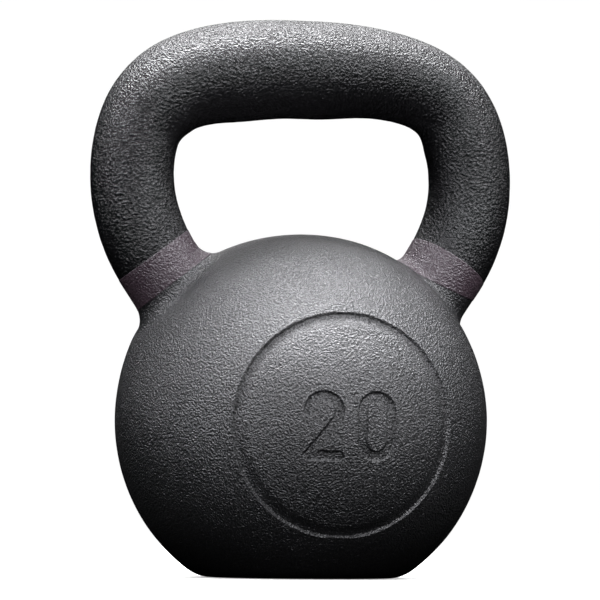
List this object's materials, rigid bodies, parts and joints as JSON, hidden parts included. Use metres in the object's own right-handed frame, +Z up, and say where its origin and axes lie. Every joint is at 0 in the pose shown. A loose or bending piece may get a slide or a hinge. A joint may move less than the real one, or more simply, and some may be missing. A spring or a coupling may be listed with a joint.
{
  "type": "kettlebell",
  "caption": "Cast-iron kettlebell: a solid ball with a flat foot, a looped two-hand handle and a painted band round each horn root.",
  "frame": {"origin": "middle of the flat foot, on the surface that the kettlebell stands on", "axes": "+Z up through the ball and the middle of the grip, +X along the grip bar, -Y out through the marked face"},
  "size_m": [0.194, 0.1664, 0.2498],
  "materials": {
    "coated_iron": "black satin powder coat with a fine orange-peel grain",
    "coated_iron_grip": "black satin powder coat with a coarser pebbled grain for grip",
    "band_paint": "muted mauve-grey enamel, satin, over the same grain"
  },
  "bodies": {
    "root": {"bell": "coated_iron", "handle": "coated_iron_grip", "band_left": "band_paint", "band_right": "band_paint"}
  },
  "joints": []
}
